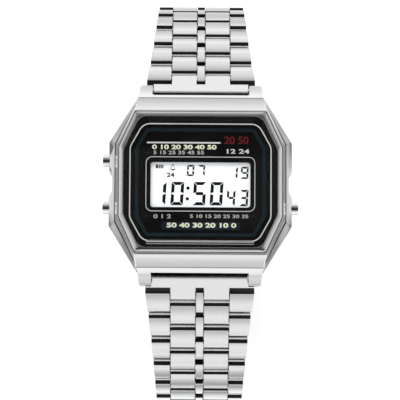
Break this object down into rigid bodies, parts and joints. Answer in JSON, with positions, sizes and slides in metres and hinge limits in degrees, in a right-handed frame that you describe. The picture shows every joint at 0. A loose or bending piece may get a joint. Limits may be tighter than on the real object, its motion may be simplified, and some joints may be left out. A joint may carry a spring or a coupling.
{
  "type": "digital wristwatch",
  "caption": "Rectangular steel digital wristwatch with a liquid-crystal display, side buttons, a folded-link bracelet and a three-leaf folding clasp, closed as worn.",
  "frame": {"origin": "centre of the case back's outer face", "axes": "+Z out of the dial, +Y towards twelve o'clock and along the closed bracelet's length, +X towards three o'clock"},
  "size_m": [0.0356, 0.077, 0.0569],
  "materials": {
    "case_steel": "brushed and polished plating",
    "bezel_steel": "polished",
    "crystal_glass": "clear with a bevelled rim",
    "seal_rubber": "matt",
    "face_black": "gloss printed",
    "lcd_glass": "silver backed display",
    "lamp_plastic": "translucent",
    "carrier_plastic": "moulded",
    "contact_rubber": "layered silicone",
    "board_laminate": "laminate",
    "chip_plastic": "moulded",
    "cell_steel": "satin",
    "spring_steel": "spring temper",
    "sounder_brass": "satin",
    "back_steel": "circular brushed",
    "screw_steel": "satin",
    "pin_steel": "ground",
    "button_steel": "polished",
    "bracelet_steel": "brushed with polished edges",
    "clasp_steel": "brushed",
    "leaf_steel": "satin"
  },
  "bodies": {
    "case": {"case_body": "case_steel", "bezel": "bezel_steel", "crystal": "crystal_glass", "crystal_gasket": "seal_rubber", "face_plate": "face_black", "lcd_panel": "lcd_glass", "led_lamp": "lamp_plastic", "module_frame": "carrier_plastic", "contact_strips": "contact_rubber", "circuit_board": "board_laminate", "circuit_chips": "chip_plastic", "battery_cell": "cell_steel", "battery_clamp": "spring_steel", "switch_springs": "spring_steel", "piezo_disc": "sounder_brass", "back_gasket": "seal_rubber", "case_back": "back_steel", "back_screws": "screw_steel", "spring_bar_upper": "pin_steel", "spring_bar_lower": "pin_steel", "pusher_seals": "seal_rubber", "pusher_spring_light": "spring_steel", "pusher_spring_mode": "spring_steel", "pusher_spring_start": "spring_steel"},
    "button_light": {"pusher_light": "button_steel"},
    "button_mode": {"pusher_mode": "button_steel"},
    "button_start": {"pusher_start": "button_steel"},
    "end_upper": {"end_link_upper": "bracelet_steel"},
    "upper_01": {"link_upper_01": "bracelet_steel"},
    "upper_02": {"link_upper_02": "bracelet_steel"},
    "upper_03": {"link_upper_03": "bracelet_steel"},
    "upper_04": {"link_upper_04": "bracelet_steel"},
    "upper_05": {"link_upper_05": "bracelet_steel"},
    "upper_06": {"link_upper_06": "bracelet_steel"},
    "upper_07": {"link_upper_07": "bracelet_steel"},
    "upper_08": {"link_upper_08": "bracelet_steel"},
    "upper_09": {"link_upper_09": "bracelet_steel"},
    "upper_10": {"link_upper_10": "bracelet_steel"},
    "upper_11": {"link_upper_11": "bracelet_steel"},
    "end_lower": {"end_link_lower": "bracelet_steel"},
    "lower_01": {"link_lower_01": "bracelet_steel"},
    "lower_02": {"link_lower_02": "bracelet_steel"},
    "lower_03": {"link_lower_03": "bracelet_steel"},
    "lower_04": {"link_lower_04": "bracelet_steel"},
    "lower_05": {"link_lower_05": "bracelet_steel"},
    "lower_06": {"link_lower_06": "bracelet_steel"},
    "lower_07": {"link_lower_07": "bracelet_steel"},
    "lower_08": {"link_lower_08": "bracelet_steel"},
    "lower_09": {"link_lower_09": "bracelet_steel"},
    "lower_10": {"link_lower_10": "bracelet_steel"},
    "lower_11": {"link_lower_11": "bracelet_steel"},
    "cover": {"clasp_cover": "clasp_steel", "clasp_catch": "spring_steel", "clasp_hinge_pin": "pin_steel", "clasp_end_bar": "pin_steel"},
    "middle_leaf": {"clasp_middle_leaf": "leaf_steel", "clasp_fold_pin": "pin_steel"},
    "inner_leaf": {"clasp_inner_leaf": "leaf_steel", "clasp_tube_bar": "pin_steel"}
  },
  "joints": [
    {"name": "light_button_press", "type": "slide", "parent": "case", "child": "button_light", "axis": [1, 0, 0], "range_m": [0, 0.0006], "stiffness_N_per_m": 800, "springref_m": -0.0008, "deforming": ["pusher_spring_light"]},
    {"name": "mode_button_press", "type": "slide", "parent": "case", "child": "button_mode", "axis": [1, 0, 0], "range_m": [0, 0.0006], "stiffness_N_per_m": 800, "springref_m": -0.0008, "deforming": ["pusher_spring_mode"]},
    {"name": "start_button_press", "type": "slide", "parent": "case", "child": "button_start", "axis": [-1, 0, 0], "range_m": [0, 0.0006], "stiffness_N_per_m": 800, "springref_m": -0.0008, "deforming": ["pusher_spring_start"]},
    {"name": "upper_lug_hinge", "type": "hinge", "parent": "case", "child": "end_upper", "pos_m": [0, 0.01735, 0.0021], "axis": [1, 0, 0], "range_deg": [0, 7]},
    {"name": "upper_link_hinge_01", "type": "hinge", "parent": "end_upper", "child": "upper_01", "pos_m": [0, 0.0195, 0.0003], "axis": [1, 0, 0], "range_deg": [0, 2]},
    {"name": "upper_link_hinge_02", "type": "hinge", "parent": "upper_01", "child": "upper_02", "pos_m": [0, 0.02369, -0.00286], "axis": [1, 0, 0], "range_deg": [0, 1.5]},
    {"name": "upper_link_hinge_03", "type": "hinge", "parent": "upper_02", "child": "upper_03", "pos_m": [0, 0.0278, -0.00613], "axis": [1, 0, 0], "range_deg": [0, 6.5]},
    {"name": "upper_link_hinge_04", "type": "hinge", "parent": "upper_03", "child": "upper_04", "pos_m": [0, 0.03151, -0.00984], "axis": [1, 0, 0], "range_deg": [0, 10]},
    {"name": "upper_link_hinge_05", "type": "hinge", "parent": "upper_04", "child": "upper_05", "pos_m": [0, 0.03453, -0.01414], "axis": [1, 0, 0], "range_deg": [0, 12]},
    {"name": "upper_link_hinge_06", "type": "hinge", "parent": "upper_05", "child": "upper_06", "pos_m": [0, 0.03658, -0.01897], "axis": [1, 0, 0], "range_deg": [0, 15]},
    {"name": "upper_link_hinge_07", "type": "hinge", "parent": "upper_06", "child": "upper_07", "pos_m": [0, 0.03731, -0.02417], "axis": [1, 0, 0], "range_deg": [0, 15]},
    {"name": "upper_link_hinge_08", "type": "hinge", "parent": "upper_07", "child": "upper_08", "pos_m": [0, 0.03667, -0.02938], "axis": [1, 0, 0], "range_deg": [0, 16]},
    {"name": "upper_link_hinge_09", "type": "hinge", "parent": "upper_08", "child": "upper_09", "pos_m": [0, 0.03462, -0.03422], "axis": [1, 0, 0], "range_deg": [0, 16]},
    {"name": "upper_link_hinge_10", "type": "hinge", "parent": "upper_09", "child": "upper_10", "pos_m": [0, 0.03131, -0.0383], "axis": [1, 0, 0], "range_deg": [0, 16]},
    {"name": "upper_link_hinge_11", "type": "hinge", "parent": "upper_10", "child": "upper_11", "pos_m": [0, 0.02701, -0.04131], "axis": [1, 0, 0], "range_deg": [0, 15]},
    {"name": "lower_lug_hinge", "type": "hinge", "parent": "case", "child": "end_lower", "pos_m": [0, -0.01735, 0.0021], "axis": [-1, 0, 0], "range_deg": [0, 7]},
    {"name": "lower_link_hinge_01", "type": "hinge", "parent": "end_lower", "child": "lower_01", "pos_m": [0, -0.0195, 0.0003], "axis": [-1, 0, 0], "range_deg": [0, 2]},
    {"name": "lower_link_hinge_02", "type": "hinge", "parent": "lower_01", "child": "lower_02", "pos_m": [0, -0.02369, -0.00286], "axis": [-1, 0, 0], "range_deg": [0, 1.5]},
    {"name": "lower_link_hinge_03", "type": "hinge", "parent": "lower_02", "child": "lower_03", "pos_m": [0, -0.0278, -0.00613], "axis": [-1, 0, 0], "range_deg": [0, 6.5]},
    {"name": "lower_link_hinge_04", "type": "hinge", "parent": "lower_03", "child": "lower_04", "pos_m": [0, -0.03151, -0.00984], "axis": [-1, 0, 0], "range_deg": [0, 10]},
    {"name": "lower_link_hinge_05", "type": "hinge", "parent": "lower_04", "child": "lower_05", "pos_m": [0, -0.03453, -0.01414], "axis": [-1, 0, 0], "range_deg": [0, 12]},
    {"name": "lower_link_hinge_06", "type": "hinge", "parent": "lower_05", "child": "lower_06", "pos_m": [0, -0.03658, -0.01897], "axis": [-1, 0, 0], "range_deg": [0, 15]},
    {"name": "lower_link_hinge_07", "type": "hinge", "parent": "lower_06", "child": "lower_07", "pos_m": [0, -0.03731, -0.02417], "axis": [-1, 0, 0], "range_deg": [0, 15]},
    {"name": "lower_link_hinge_08", "type": "hinge", "parent": "lower_07", "child": "lower_08", "pos_m": [0, -0.03667, -0.02938], "axis": [-1, 0, 0], "range_deg": [0, 16]},
    {"name": "lower_link_hinge_09", "type": "hinge", "parent": "lower_08", "child": "lower_09", "pos_m": [0, -0.03462, -0.03422], "axis": [-1, 0, 0], "range_deg": [0, 16]},
    {"name": "lower_link_hinge_10", "type": "hinge", "parent": "lower_09", "child": "lower_10", "pos_m": [0, -0.03131, -0.0383], "axis": [-1, 0, 0], "range_deg": [0, 16]},
    {"name": "lower_link_hinge_11", "type": "hinge", "parent": "lower_10", "child": "lower_11", "pos_m": [0, -0.02701, -0.04131], "axis": [-1, 0, 0], "range_deg": [0, 15]},
    {"name": "clasp_cover_hinge", "type": "hinge", "parent": "upper_11", "child": "cover", "pos_m": [0, 0.02208, -0.0431], "axis": [1, 0, 0], "range_deg": [0, 6]},
    {"name": "clasp_leaf_hinge", "type": "hinge", "parent": "cover", "child": "middle_leaf", "pos_m": [0, -0.02058, -0.04417], "axis": [1, 0, 0], "range_deg": [0, 105]},
    {"name": "clasp_fold_hinge", "type": "hinge", "parent": "middle_leaf", "child": "inner_leaf", "pos_m": [0, 0.005, -0.04571], "axis": [-1, 0, 0], "range_deg": [0, 105]}
  ]
}
